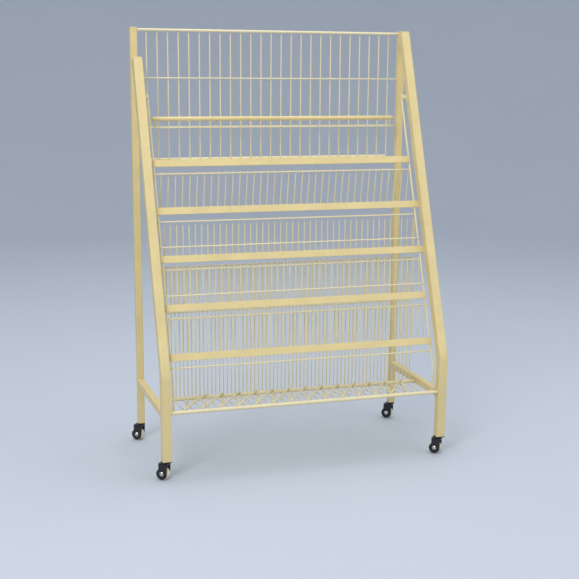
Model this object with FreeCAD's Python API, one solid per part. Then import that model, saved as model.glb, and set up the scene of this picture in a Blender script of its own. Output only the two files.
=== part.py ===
import FreeCAD, Part
import math
import os

Vector = FreeCAD.Vector

# ---------------------------------------------------------------------------
# Driving dimensions, in millimetres and degrees.
# While modelling, X runs left to right, Y = 0 is the centre of the rear
# uprights with the front at -Y, and Z = 0 is the floor.
# ---------------------------------------------------------------------------

# Side frames
FRAME_SPREAD = 900.0        # between the centre planes of the two side frames
FRAME_DEPTH = 411.0         # rear upright centre to front leg centre
TUBE_TOP = 1338.0           # top of the tubes above the floor
REAR_TUBE = 22.0            # outside of the rear upright and the side rail
FRONT_TUBE = 28.0           # outside of the bent front tube
TUBE_WALL = 1.5
CORNER_RADIUS = 2.0         # outside corners of the square tubes
KNEE_HEIGHT = 320.0         # where the sloping run of the front tube meets its leg
WELD_SEAM = 6.0             # height over which the front tube is cut to the upright
LEFT_TUBE_DROP = 95.0       # the left front tube is cut off this far below the tops
SPACER_DROP = 12.0          # centre of the spacer behind that tube, below its end
SPACER_SIZE = 16.0
KNEE_RADIUS = 60.0          # centre line radius where the slope meets the leg
RAIL_HEIGHT = 200.0         # centre of the side rails
BASE_FRONT_HEIGHT = 208.0   # centre of the base front rail
BASE_REAR_HEIGHT = 194.0    # centre of the base rear rail

# End caps
CAP_THICKNESS = 2.5
CAP_PLUG_DEPTH = 10.0
CAP_CLEARANCE = 0.3
CAP_EDGE_RADIUS = 1.0       # around the top of each cap

# Rods and wires
TOP_RAIL_DIAMETER = 8.0
TOP_RAIL_DROP = 5.0         # rail centre below the tube tops
BASE_RAIL_DIAMETER = 12.0
SIDE_ROD_DIAMETER = 6.0
SIDE_ROD_INSET = 26.0       # side rod centre inside the side frame centre plane
SIDE_ROD_RADIUS = 30.0      # centre line radius of its bend
SIDE_ROD_DROP = 200.0       # top of the side rods below the tube tops
SIDE_TAB_DROP = 7.0         # centre of the tab below the top of the side rod
SIDE_TAB_WIDTH = 12.0
TIE_ROD_DIAMETER = 5.0      # rods under the flat bars
GUARD_WIRE_DIAMETER = 4.0
LEDGE_ROD_DIAMETER = 6.0
LEDGE_RUNG_DIAMETER = 3.5
LEDGE_RUNG_PITCH = 20.0
ROD_OVERHANG = 6.0          # tie and ledge rod ends past the centre of the side rod
WELD_GAP = 0.02             # left between crossing rods so that they never overlap
ROD_CLEARANCE = 0.3         # between rods that pass without a weld

# Tiers, numbered 1 to 6 from the top
BAR_WIDTH = 22.0            # flat retaining bars of tiers 2 to 6
BAR_THICKNESS = 3.0
BAR_EDGE_RADIUS = 0.6       # long edges of the flat bars
BAR_OVERHANG = 1.0          # flat bar end past the centre of the side rod
LONG_BAR_OVERLAP = 10.0     # long bar end past the centre of the front tube
LONG_BAR_TIERS = (3, 4)     # these bars are screwed to the front tubes
SECOND_BAR_HEIGHT = 932.0
TIER_PITCH = 140.5
LAST_TIER = 6
LEDGE_DROP = 9.0            # ledge rod centre below the centre of its bar
TIE_DROP = 33.0             # tie rod centre below the centre of its bar
GUARD_TIERS = (4, 5)        # these tiers have a guard wire over their bar
GUARD_RISE = 35.0           # guard wire above the centre of its bar

# Top tier
TOP_BAR_DIAMETER = 14.0
TOP_BAR_RISE = 129.0        # above the second bar
TOP_BAR_OUT = 50.0          # ahead of the centre of the rear uprights
TOP_BAR_INSET = 42.0        # bar end inside the side frame centre plane
TOP_LEDGE_DROP = 27.0
TOP_LEDGE_ROD = 4.0
POST_DIAMETER = 5.0
POST_INSET = 54.0

# Top back panel
PANEL_WIRE_DIAMETER = 4.0
PANEL_WIRE_COUNT = 25
PANEL_EDGE_INSET = 42.0     # outer wire inside the side frame centre plane
PANEL_TIE_DROP = 152.0      # cross wire between the uprights, below the tube tops
PANEL_FOOT_RISE = 7.0       # rod behind the feet of the wires, above the second ledge
PANEL_FOOT_DIAMETER = 10.0

# Backrests of tiers 3 to 6, each between its ledge and the tie rod above
BACKREST_WIRE_DIAMETER = 3.5
WIDE_PITCH = 23.0           # backrest wires of tier 3
CLOSE_PITCH = 20.0          # backrest wires of tiers 4 to 6
THIRD_LEAN = 20.0           # feet of the tier 3 wires behind their tops
THIRD_RISE = 4.0            # tops of the tier 3 wires above the tie rod
FOURTH_STANDOFF = 7.0       # tier 4 wires clear of the tie rod
FOURTH_DROP = 12.0          # tops of the tier 4 wires below the tie rod
LOW_RISE = 7.0              # tops of the tier 5 and 6 wires above the tie rod
STAY_DIAMETER = 4.0         # holds the ledge of tier 4

BACKREST_PITCH = {3: WIDE_PITCH, 4: CLOSE_PITCH, 5: CLOSE_PITCH, 6: CLOSE_PITCH}
BACKREST_SIDE = {3: 1, 4: 1, 5: -1, 6: -1}      # 1 behind the tie rod, -1 ahead of it
BACKREST_LEAN = {3: THIRD_LEAN, 4: 0.0, 5: 0.0, 6: 0.0}
BACKREST_STANDOFF = {3: 0.0, 4: FOURTH_STANDOFF, 5: 0.0, 6: 0.0}
BACKREST_RISE = {3: THIRD_RISE, 4: -FOURTH_DROP, 5: LOW_RISE, 6: LOW_RISE}

# Lower back panel
BACK_WIRE_DIAMETER = 3.5
BACK_WIRE_PITCH = 13.0
BACK_TIE_DIAMETER = 4.0
BACK_TIE_COUNT = 3
BACK_TIER_COUNT = 4         # tiers over the panel, which hangs on the rear rod of the last one's ledge
BACK_TOP_DROP = 23.0        # top of the short wires below that rod
BACK_LONG_FROM = -60.0      # right of this, every second wire reaches that rod

# Fixings of the long bars
SCREW_DIAMETER = 6.0
SCREW_LENGTH = 16.0
SCREW_FLANGE_DIAMETER = 16.0
SCREW_FLANGE_THICKNESS = 1.5
SCREW_HEX_WIDTH = 10.0
SCREW_HEX_HEIGHT = 4.0
NUT_BODY_DIAMETER = 9.0
NUT_BODY_LENGTH = 12.0
NUT_FLANGE_DIAMETER = 12.0
NUT_FLANGE_THICKNESS = 0.8
NUT_HOLE_CLEARANCE = 0.05   # radial, nut body in the tube wall and screw in the nut
BAR_HOLE_CLEARANCE = 0.3    # radial, nut flange in the bar

# Base shelf lattice
LATTICE_BAY = 56.0
LATTICE_ROD_DIAMETER = 7.0
SHELF_WIRE_DIAMETER = 3.5
SHELF_WIRE_PITCH = 28.0

# Castors
CASTOR_HEIGHT = 60.0        # floor to the tube feet
CASTOR_HEADING = 40.0       # axle direction, turned from the front towards the left
WHEEL_DIAMETER = 40.0
WHEEL_WIDTH = 18.0
WHEEL_EDGE_RADIUS = 2.0
HUB_DIAMETER = 14.0
HUB_STANDOUT = 0.7          # hub face past the wheel face
AXLE_DIAMETER = 6.0
AXLE_HEAD_DIAMETER = 14.0
AXLE_HEAD_HEIGHT = 2.8
FIT_CLEARANCE = 0.05        # radial, for the axles and the swivel stems
CASTOR_TRAIL = 12.0
FORK_SHEET = 2.5
FORK_SIDE_GAP = 1.2         # wheel face to fork leg
FORK_TOP_GAP = 10.5         # wheel top to fork crown
FORK_EYE_RADIUS = 17.5
FORK_NOSE = 7.0             # crown ahead of the stem
FORK_TAIL = 22.0            # crown behind the stem
BOSS_DIAMETER = 20.0
SWIVEL_GAP = 0.3            # boss top to socket flange
STEM_DIAMETER = 10.0
STEM_REACH = 26.0           # stem above the tube feet
STEM_HEAD_DIAMETER = 16.0
STEM_HEAD_HEIGHT = 2.0
SOCKET_FLANGE = 3.0
SOCKET_PLUG = 30.0
SOCKET_CLEARANCE = 0.1

# ---------------------------------------------------------------------------
# Values worked out from the driving dimensions
# ---------------------------------------------------------------------------

HALF_SPREAD = FRAME_SPREAD / 2
TUBE_FOOT = CASTOR_HEIGHT
UPRIGHT_FRONT = -REAR_TUBE / 2
SLOPE_RUN = FRAME_DEPTH + UPRIGHT_FRONT
SLOPE_RISE = TUBE_TOP - KNEE_HEIGHT - WELD_SEAM
# Lean of the front tube that brings its centre line to the knee and its back to the upright.
SLOPE = (math.acos(FRONT_TUBE / 2 / math.hypot(SLOPE_RUN, SLOPE_RISE))
         - math.atan2(SLOPE_RISE, SLOPE_RUN))
SLOPE_TOP_Y = UPRIGHT_FRONT - FRONT_TUBE / 2 / math.cos(SLOPE) + WELD_SEAM * math.tan(SLOPE)
SIDE_ROD_TOP = TUBE_TOP - SIDE_ROD_DROP
BAR_BEHIND = FRONT_TUBE / 2 + BAR_THICKNESS / 2
SIDE_ROD_BEHIND = FRONT_TUBE / 2 + BAR_THICKNESS + SIDE_ROD_DIAMETER / 2 + WELD_GAP
TIE_ROD_BEHIND = SIDE_ROD_BEHIND + (SIDE_ROD_DIAMETER + TIE_ROD_DIAMETER) / 2 + WELD_GAP
LEDGE_ROD_BEHIND = SIDE_ROD_BEHIND + (SIDE_ROD_DIAMETER + LEDGE_ROD_DIAMETER) / 2 + WELD_GAP
GUARD_BEHIND = SIDE_ROD_BEHIND - (SIDE_ROD_DIAMETER + GUARD_WIRE_DIAMETER) / 2 - WELD_GAP
SIDE_ROD_X = HALF_SPREAD - SIDE_ROD_INSET
ROD_HALF = SIDE_ROD_X + ROD_OVERHANG
PANEL_Y = TOP_RAIL_DIAMETER / 2 + PANEL_WIRE_DIAMETER / 2 + WELD_GAP
PANEL_FRONT = PANEL_Y - PANEL_WIRE_DIAMETER / 2 - WELD_GAP


def slope_y(height, behind=0.0):
    """Y at a height on the line that lies `behind` the centre of the sloping tube."""
    return SLOPE_TOP_Y - (TUBE_TOP - height) * math.tan(SLOPE) + behind / math.cos(SLOPE)


def slope_height(y, behind=0.0):
    """Height at which that line reaches a given Y."""
    return TUBE_TOP - (SLOPE_TOP_Y + behind / math.cos(SLOPE) - y) / math.tan(SLOPE)


def bar_height(tier):
    """Centre height of a tier's retaining bar."""
    if tier == 1:
        return SECOND_BAR_HEIGHT + TOP_BAR_RISE
    return SECOND_BAR_HEIGHT - (tier - 2) * TIER_PITCH


def ledge_height(tier):
    """Centre height of a tier's two ledge rods."""
    return bar_height(tier) - (TOP_LEDGE_DROP if tier == 1 else LEDGE_DROP)


def tie_height(tier):
    """Centre height of the tie rod under a tier's bar."""
    return bar_height(tier) - TIE_DROP


def tie_y(tier):
    """Y of the tie rod under a tier's bar."""
    return slope_y(tie_height(tier), TIE_ROD_BEHIND)


def touching(diameter, other, run, rise):
    """Y between two rods in contact, when one of them leans by `run` over `rise`."""
    return ((diameter + other) / 2 + WELD_GAP) * math.hypot(run, rise) / rise


def backrest_line(tier):
    """Y of a backrest's wires at the ledge and at the tie rod above."""
    rise = tie_height(tier - 1) - ledge_height(tier)
    contact = touching(TIE_ROD_DIAMETER, BACKREST_WIRE_DIAMETER, BACKREST_LEAN[tier], rise)
    top_y = tie_y(tier - 1) + BACKREST_SIDE[tier] * contact + BACKREST_STANDOFF[tier]
    return top_y + BACKREST_LEAN[tier], top_y


def ledge_front(tier):
    """Y of a tier's front ledge rod."""
    if tier == 1:
        return -TOP_BAR_OUT
    return slope_y(ledge_height(tier), LEDGE_ROD_BEHIND)


def ledge_back(tier):
    """Y of a tier's rear ledge rod."""
    if tier == 1:
        return PANEL_FRONT - TOP_LEDGE_ROD / 2
    if tier == 2:
        return PANEL_FRONT - LEDGE_ROD_DIAMETER / 2
    rise = tie_height(tier - 1) - ledge_height(tier)
    contact = touching(LEDGE_ROD_DIAMETER, BACKREST_WIRE_DIAMETER, BACKREST_LEAN[tier], rise)
    return backrest_line(tier)[0] - contact


BACK_WIRE_Y = ledge_back(BACK_TIER_COUNT)
BASE_REAR_Y = BACK_WIRE_Y - (BACK_WIRE_DIAMETER + BASE_RAIL_DIAMETER) / 2 - WELD_GAP

# ---------------------------------------------------------------------------
# Shape helpers
# ---------------------------------------------------------------------------


def block(x_range, y_range, z_range):
    """Box between two limits on each axis."""
    size = [span[1] - span[0] for span in (x_range, y_range, z_range)]
    return Part.makeBox(*size, Vector(x_range[0], y_range[0], z_range[0]))


def centred_block(centre_x, centre_y, width, z_range):
    """Square upright block about a vertical line."""
    half = width / 2
    return block((centre_x - half, centre_x + half), (centre_y - half, centre_y + half), z_range)


def round_edges_along(shape, direction, radius):
    """Round the edges of a block that run along a direction."""
    edges = [edge for edge in shape.Edges
             if abs(edge.tangentAt(edge.FirstParameter).dot(direction)) > 0.999]
    return shape.makeFillet(radius, edges)


def rod(start, end, diameter):
    """Round rod from one point to another."""
    start = Vector(*start)
    run = Vector(*end) - start
    return Part.makeCylinder(diameter / 2, run.Length, start, run)


def cross_rod(half_length, y, z, diameter):
    """Round rod along X, centred on the rack."""
    return rod((-half_length, y, z), (half_length, y, z), diameter)


def turned(diameter, y_from, y_to):
    """Cylinder along Y about the origin."""
    return Part.makeCylinder(diameter / 2, y_to - y_from, Vector(0, y_from, 0), Vector(0, 1, 0))


def on_slope(shape, x, height, behind):
    """Lean an upright shape with the front tubes and move it to a point on the slope."""
    shape.rotate(Vector(0, 0, 0), Vector(1, 0, 0), -math.degrees(SLOPE))
    shape.translate(Vector(x, slope_y(height, behind), height))
    return shape


def rounded_edges(points, radii):
    """Lines through the points, joined by tangent arcs where a radius is given."""
    edges = []
    reached = points[0]
    for corner, following, radius in zip(points[1:-1], points[2:], radii):
        before = (corner - reached).normalize()
        after = (following - corner).normalize()
        half_turn = before.getAngle(after) / 2
        setback = radius * math.tan(half_turn)
        inward = (after - before).normalize()
        arc_start = corner - before * setback
        arc_end = corner + after * setback
        arc_middle = corner + inward * (radius / math.cos(half_turn) - radius)
        edges.append(Part.makeLine(reached, arc_start))
        edges.append(Part.Arc(arc_start, arc_middle, arc_end).toShape())
        reached = arc_end
    edges.append(Part.makeLine(reached, points[-1]))
    return edges


def spread_evenly(half_length, pitch):
    """Positions on both sides of the middle, at most `pitch` apart, ends included."""
    gaps = math.ceil(2 * half_length / pitch - 1e-6)
    return [-half_length + 2 * half_length * step / gaps for step in range(gaps + 1)]


# ---------------------------------------------------------------------------
# Side frames
# ---------------------------------------------------------------------------


def rear_upright(side):
    """Square tube that stands at the back of a side frame."""
    centre = side * HALF_SPREAD
    outer = centred_block(centre, 0.0, REAR_TUBE, (TUBE_FOOT, TUBE_TOP))
    outer = round_edges_along(outer, Vector(0, 0, 1), CORNER_RADIUS)
    bore = centred_block(centre, 0.0, REAR_TUBE - 2 * TUBE_WALL, (TUBE_FOOT - 1, TUBE_TOP + 1))
    return outer.cut(bore)


def bent_prism(side, half, z_bottom, z_top):
    """Solid of the front tube's side outline, `half` each way from its centre line."""
    offset = half / math.cos(SLOPE)
    knee_shift = (offset - half) / math.tan(SLOPE)
    front_points = [Vector(0, -FRAME_DEPTH - half, z_bottom),
                    Vector(0, -FRAME_DEPTH - half, KNEE_HEIGHT + knee_shift),
                    Vector(0, slope_y(z_top) - offset, z_top)]
    rear_points = [Vector(0, slope_y(z_top) + offset, z_top),
                   Vector(0, -FRAME_DEPTH + half, KNEE_HEIGHT - knee_shift),
                   Vector(0, -FRAME_DEPTH + half, z_bottom)]
    edges = rounded_edges(front_points, [KNEE_RADIUS + half])
    edges.append(Part.makeLine(front_points[-1], rear_points[0]))
    edges += rounded_edges(rear_points, [KNEE_RADIUS - half])
    edges.append(Part.makeLine(rear_points[-1], front_points[0]))
    prism = Part.Face(Part.Wire(edges)).extrude(Vector(2 * half, 0, 0))
    prism.translate(Vector(side * HALF_SPREAD - half, 0, 0))
    return prism


def tube_drop(side):
    """How far below the tops a front tube is cut off."""
    return LEFT_TUBE_DROP if side < 0 else 0.0


def front_tube(side):
    """Square tube: front leg below, sloping run above, cut to sit against the upright."""
    outer = bent_prism(side, FRONT_TUBE / 2, TUBE_FOOT, TUBE_TOP)
    long_edges = [edge for edge in outer.Edges if edge.BoundBox.ZLength > CORNER_RADIUS]
    outer = outer.makeFillet(CORNER_RADIUS, long_edges)
    bore = bent_prism(side, FRONT_TUBE / 2 - TUBE_WALL, TUBE_FOOT - 1, TUBE_TOP + 1)
    centre = side * HALF_SPREAD
    past_upright = block((centre - FRONT_TUBE, centre + FRONT_TUBE), (UPRIGHT_FRONT, FRONT_TUBE),
                         (KNEE_HEIGHT, TUBE_TOP + 1))
    tube = outer.cut(bore).cut(past_upright)
    if tube_drop(side) > 0:
        offcut = centred_block(0.0, 0.0, 2 * FRONT_TUBE, (0.0, 2 * tube_drop(side)))
        tube = tube.cut(on_slope(offcut, centre, TUBE_TOP - tube_drop(side), 0.0))
    for tier in LONG_BAR_TIERS:
        hole = turned(NUT_BODY_DIAMETER + 2 * NUT_HOLE_CLEARANCE, -FRONT_TUBE / 2, FRONT_TUBE / 2)
        tube = tube.cut(on_slope(hole, centre, bar_height(tier), BAR_BEHIND))
    return tube


def tube_spacer():
    """Solid bar welded between the left upright and the cut end of the left front tube."""
    centre = -HALF_SPREAD
    height = TUBE_TOP - LEFT_TUBE_DROP - SPACER_DROP
    half = SPACER_SIZE / 2
    bar = block((centre - half, centre + half), (slope_y(height), UPRIGHT_FRONT),
                (height - half, height + half))
    return bar.cut(bent_prism(-1, FRONT_TUBE / 2, TUBE_FOOT, TUBE_TOP))


def side_rail(side):
    """Square tube between the rear upright and the front leg."""
    centre = side * HALF_SPREAD
    span = (-FRAME_DEPTH + FRONT_TUBE / 2, UPRIGHT_FRONT)
    half = REAR_TUBE / 2
    inside = half - TUBE_WALL
    outer = block((centre - half, centre + half), span, (RAIL_HEIGHT - half, RAIL_HEIGHT + half))
    outer = round_edges_along(outer, Vector(0, 1, 0), CORNER_RADIUS)
    bore = block((centre - inside, centre + inside), (span[0] - 1, span[1] + 1),
                 (RAIL_HEIGHT - inside, RAIL_HEIGHT + inside))
    return outer.cut(bore)


def cap_head(x_range, y_range, bottom, round_rear=True):
    """Flat head of a cap, with rounded corners and a rounded top edge."""
    top = bottom + CAP_THICKNESS
    head = block(x_range, y_range, (bottom, top))
    corners = [edge for edge in head.Edges
               if edge.BoundBox.ZLength > CAP_THICKNESS / 2
               and (round_rear or edge.CenterOfMass.y < sum(y_range) / 2)]
    head = head.makeFillet(CORNER_RADIUS, corners)
    rim = [edge for edge in head.Edges if edge.BoundBox.ZMin > top - CAP_EDGE_RADIUS / 2]
    return head.makeFillet(CAP_EDGE_RADIUS, rim)


def upright_cap(side):
    """Plug that closes the top of a rear upright."""
    centre = side * HALF_SPREAD
    plug_width = REAR_TUBE - 2 * TUBE_WALL - 2 * CAP_CLEARANCE
    half = REAR_TUBE / 2
    head = cap_head((centre - half, centre + half), (-half, half), TUBE_TOP)
    plug = centred_block(centre, 0.0, plug_width, (TUBE_TOP - CAP_PLUG_DEPTH, TUBE_TOP))
    return head.fuse(plug).removeSplitter()


def square_cut_cap():
    """Plug that closes the square cut end of the left front tube."""
    plug_width = FRONT_TUBE - 2 * TUBE_WALL - 2 * CAP_CLEARANCE
    half = FRONT_TUBE / 2
    head = cap_head((-half, half), (-half, half), 0.0)
    plug = centred_block(0.0, 0.0, plug_width, (-CAP_PLUG_DEPTH, 0.0))
    cap = head.fuse(plug).removeSplitter()
    return on_slope(cap, -HALF_SPREAD, TUBE_TOP - LEFT_TUBE_DROP, 0.0)


def slope_cap():
    """Plug that closes the top of the right front tube, which runs up to the upright's top."""
    centre = HALF_SPREAD
    half = FRONT_TUBE / 2
    inside = half - TUBE_WALL
    front = SLOPE_TOP_Y - half / math.cos(SLOPE)
    plug_half = inside - CAP_CLEARANCE
    plug_front = slope_y(TUBE_TOP, -plug_half)
    plug_rear = slope_y(TUBE_TOP - CAP_PLUG_DEPTH, plug_half)
    head = cap_head((centre - half, centre + half), (front, UPRIGHT_FRONT), TUBE_TOP,
                    round_rear=False)
    plug = block((centre - plug_half, centre + plug_half), (plug_front, plug_rear),
                 (TUBE_TOP - CAP_PLUG_DEPTH, TUBE_TOP))
    return head.fuse(plug).removeSplitter()


# ---------------------------------------------------------------------------
# Rails, side rods and base shelf
# ---------------------------------------------------------------------------


def top_rail():
    """Rod between the tops of the rear uprights."""
    return cross_rod(HALF_SPREAD - REAR_TUBE / 2, 0.0, TUBE_TOP - TOP_RAIL_DROP, TOP_RAIL_DIAMETER)


def base_front_rail():
    """Rod between the two front legs."""
    return cross_rod(HALF_SPREAD - FRONT_TUBE / 2, -FRAME_DEPTH, BASE_FRONT_HEIGHT, BASE_RAIL_DIAMETER)


def base_rear_rail():
    """Rod between the two side rails, under the lower back panel."""
    return cross_rod(HALF_SPREAD - REAR_TUBE / 2, BASE_REAR_Y, BASE_REAR_HEIGHT, BASE_RAIL_DIAMETER)


def side_rod(side):
    """Bent rod behind the front tube that carries the retaining bars and ledges."""
    x = side * SIDE_ROD_X
    foot_y = -FRAME_DEPTH + (BASE_RAIL_DIAMETER + SIDE_ROD_DIAMETER) / 2 + WELD_GAP
    points = [Vector(x, slope_y(SIDE_ROD_TOP, SIDE_ROD_BEHIND), SIDE_ROD_TOP),
              Vector(x, foot_y, slope_height(foot_y, SIDE_ROD_BEHIND)),
              Vector(x, foot_y, BASE_FRONT_HEIGHT - BASE_RAIL_DIAMETER / 2)]
    path = Part.Wire(rounded_edges(points, [SIDE_ROD_RADIUS]))
    section = Part.Wire(Part.makeCircle(SIDE_ROD_DIAMETER / 2, points[0], points[1] - points[0]))
    return path.makePipeShell([section], True, True)


def side_rod_tab(side):
    """Flat tab between the back of the front tube and the top of the side rod."""
    ends = sorted((side * (SIDE_ROD_X - SIDE_ROD_DIAMETER / 2), side * HALF_SPREAD))
    half = SIDE_TAB_WIDTH / 2
    tab = block(ends, (-BAR_THICKNESS / 2, BAR_THICKNESS / 2), (-half, half))
    tab = round_edges_along(tab, Vector(1, 0, 0), BAR_EDGE_RADIUS)
    return on_slope(tab, 0.0, SIDE_ROD_TOP - SIDE_TAB_DROP, BAR_BEHIND)


def lattice_nodes():
    """X positions along the base rails where the lattice rods end."""
    reach = HALF_SPREAD - FRONT_TUBE / 2 - LATTICE_BAY / 2
    bays = int(2 * reach // LATTICE_BAY)
    return [(index - bays / 2) * LATTICE_BAY for index in range(bays + 1)]


def shelf_rod(front_x, back_x, lift, trim, diameter):
    """Rod between the base rails: `lift` over them, its nearest corners `trim` off their centres."""
    shelf_run = BASE_REAR_Y + FRAME_DEPTH
    shelf_drop = BASE_FRONT_HEIGHT - BASE_REAR_HEIGHT
    offset = Vector(0, shelf_drop, shelf_run).normalize() * lift
    front = Vector(front_x, -FRAME_DEPTH, BASE_FRONT_HEIGHT) + offset
    back = Vector(back_x, BASE_REAR_Y, BASE_REAR_HEIGHT) + offset
    along = (back - front).normalize()
    across = math.hypot(along.y, along.z)
    setback = (trim + diameter / 2 * abs(along.x)) / across
    return rod(front + along * setback, back - along * setback, diameter)


def shelf_struts():
    """Rods in the plane of the base rails, each one bay over from front to back."""
    nodes = lattice_nodes()
    trim = BASE_RAIL_DIAMETER / 2 + WELD_GAP
    return [shelf_rod(front_x, back_x, 0.0, trim, LATTICE_ROD_DIAMETER)
            for front_x, back_x in zip(nodes[:-1], nodes[1:])]


def shelf_diagonals():
    """Rods on top of the base rails, each two bays over from front to back."""
    nodes = lattice_nodes()
    lift = (BASE_RAIL_DIAMETER + LATTICE_ROD_DIAMETER) / 2 + WELD_GAP
    return [shelf_rod(front_x, back_x, lift, 0.0, LATTICE_ROD_DIAMETER)
            for front_x, back_x in zip(nodes[:-2], nodes[2:])]


def shelf_wires():
    """Straight wires under the struts, cut to meet the undersides of the base rails."""
    lift = -(LATTICE_ROD_DIAMETER + SHELF_WIRE_DIAMETER) / 2 - WELD_GAP
    upper_edge = -lift - SHELF_WIRE_DIAMETER / 2
    trim = math.sqrt((BASE_RAIL_DIAMETER / 2) ** 2 - upper_edge ** 2) + WELD_GAP
    half = SIDE_ROD_X - SHELF_WIRE_PITCH / 2
    return [shelf_rod(x, x, lift, trim, SHELF_WIRE_DIAMETER)
            for x in spread_evenly(half, SHELF_WIRE_PITCH)]


# ---------------------------------------------------------------------------
# Tiers
# ---------------------------------------------------------------------------


def top_bar():
    """Round retaining bar of the top tier, with domed ends."""
    radius = TOP_BAR_DIAMETER / 2
    half = HALF_SPREAD - TOP_BAR_INSET - radius
    bar = cross_rod(half, -TOP_BAR_OUT, bar_height(1), TOP_BAR_DIAMETER)
    for side in (-1, 1):
        dome = Part.makeSphere(radius, Vector(side * half, -TOP_BAR_OUT, bar_height(1)))
        bar = bar.fuse(dome)
    return bar.removeSplitter()


def flat_bar(tier):
    """Flat retaining bar that lies along the slope."""
    half = SIDE_ROD_X + BAR_OVERHANG
    if tier in LONG_BAR_TIERS:
        half = HALF_SPREAD + LONG_BAR_OVERLAP
    bar = block((-half, half), (-BAR_THICKNESS / 2, BAR_THICKNESS / 2), (-BAR_WIDTH / 2, BAR_WIDTH / 2))
    bar = round_edges_along(bar, Vector(1, 0, 0), BAR_EDGE_RADIUS)
    if tier in LONG_BAR_TIERS:
        for side in (-1, 1):
            hole = turned(NUT_FLANGE_DIAMETER + 2 * BAR_HOLE_CLEARANCE, -BAR_THICKNESS, BAR_THICKNESS)
            hole.translate(Vector(side * HALF_SPREAD, 0, 0))
            bar = bar.cut(hole)
    return on_slope(bar, 0.0, bar_height(tier), BAR_BEHIND)


def fixing_screw():
    """Flanged hexagon screw, its flange on the back of a bar centred on the origin."""
    seat = BAR_THICKNESS / 2
    hex_start = seat + SCREW_FLANGE_THICKNESS
    corner = SCREW_HEX_WIDTH / math.sqrt(3)
    corners = [Vector(corner * math.cos(math.radians(60 * turn)), hex_start,
                      corner * math.sin(math.radians(60 * turn))) for turn in range(7)]
    head = Part.Face(Part.makePolygon(corners)).extrude(Vector(0, SCREW_HEX_HEIGHT, 0))
    flange = turned(SCREW_FLANGE_DIAMETER, seat, hex_start)
    shank = turned(SCREW_DIAMETER, seat - SCREW_LENGTH, seat)
    return head.fuse([flange, shank]).removeSplitter()


def rivet_nut():
    """Threaded insert in the tube wall ahead of a bar centred on the origin."""
    wall = -BAR_THICKNESS / 2
    flange = turned(NUT_FLANGE_DIAMETER, wall, wall + NUT_FLANGE_THICKNESS)
    body = turned(NUT_BODY_DIAMETER, wall - NUT_BODY_LENGTH, wall)
    bore = turned(SCREW_DIAMETER + 2 * NUT_HOLE_CLEARANCE, -FRONT_TUBE, FRONT_TUBE)
    return flange.fuse(body).cut(bore).removeSplitter()


def at_long_bar_ends(make):
    """One piece at each end of each long bar."""
    return [on_slope(make(), side * HALF_SPREAD, bar_height(tier), BAR_BEHIND)
            for tier in LONG_BAR_TIERS for side in (-1, 1)]


def ledge(tier):
    """Two rods along the rack with rungs between them."""
    rod_diameter = TOP_LEDGE_ROD if tier == 1 else LEDGE_ROD_DIAMETER
    rod_half = HALF_SPREAD - TOP_BAR_INSET if tier == 1 else ROD_HALF
    height = ledge_height(tier)
    front = ledge_front(tier)
    back = ledge_back(tier)
    inset = rod_diameter / 2 + WELD_GAP
    positions = panel_positions() if tier == 1 else spread_evenly(ROD_HALF, LEDGE_RUNG_PITCH)[1:-1]
    pieces = [cross_rod(rod_half, front, height, rod_diameter),
              cross_rod(rod_half, back, height, rod_diameter)]
    for x in positions:
        pieces.append(rod((x, front + inset, height), (x, back - inset, height), LEDGE_RUNG_DIAMETER))
    return pieces


def top_bar_posts():
    """Short posts between the top ledge and the top bar."""
    foot = ledge_height(1) + TOP_LEDGE_ROD / 2
    head = bar_height(1) - TOP_BAR_DIAMETER / 2
    x = HALF_SPREAD - POST_INSET
    return [rod((side * x, -TOP_BAR_OUT, foot), (side * x, -TOP_BAR_OUT, head), POST_DIAMETER)
            for side in (-1, 1)]


def tie_rod(tier):
    """Rod behind the side rods, a little under a flat bar."""
    return cross_rod(ROD_HALF, tie_y(tier), tie_height(tier), TIE_ROD_DIAMETER)


def guard_wire(tier):
    """Wire ahead of the side rods, a little over a flat bar."""
    height = bar_height(tier) + GUARD_RISE
    return cross_rod(SIDE_ROD_X + BAR_OVERHANG, slope_y(height, GUARD_BEHIND), height, GUARD_WIRE_DIAMETER)


def leaning_wire(x, line, heights, ends, diameter):
    """Wire on the line through two Y and height pairs, between two end heights."""
    slant = (line[1] - line[0]) / (heights[1] - heights[0])
    start, finish = [(x, line[0] + slant * (end - heights[0]), end) for end in ends]
    return rod(start, finish, diameter)


def backrest_half(tier):
    """X of a backrest's last wire: inside the side rods, or inside the stays where it is behind."""
    if BACKREST_SIDE[tier] < 0:
        return SIDE_ROD_X - (SIDE_ROD_DIAMETER + BACKREST_WIRE_DIAMETER) / 2 - ROD_CLEARANCE
    return ROD_HALF - STAY_DIAMETER - BACKREST_WIRE_DIAMETER / 2 - ROD_CLEARANCE


def backrest(tier):
    """Upright wires from the back of a ledge to the tie rod above."""
    heights = (ledge_height(tier), tie_height(tier - 1))
    ends = (heights[0] - LEDGE_ROD_DIAMETER / 2, heights[1] + BACKREST_RISE[tier])
    return [leaning_wire(x, backrest_line(tier), heights, ends, BACKREST_WIRE_DIAMETER)
            for x in spread_evenly(backrest_half(tier), BACKREST_PITCH[tier])]


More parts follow.
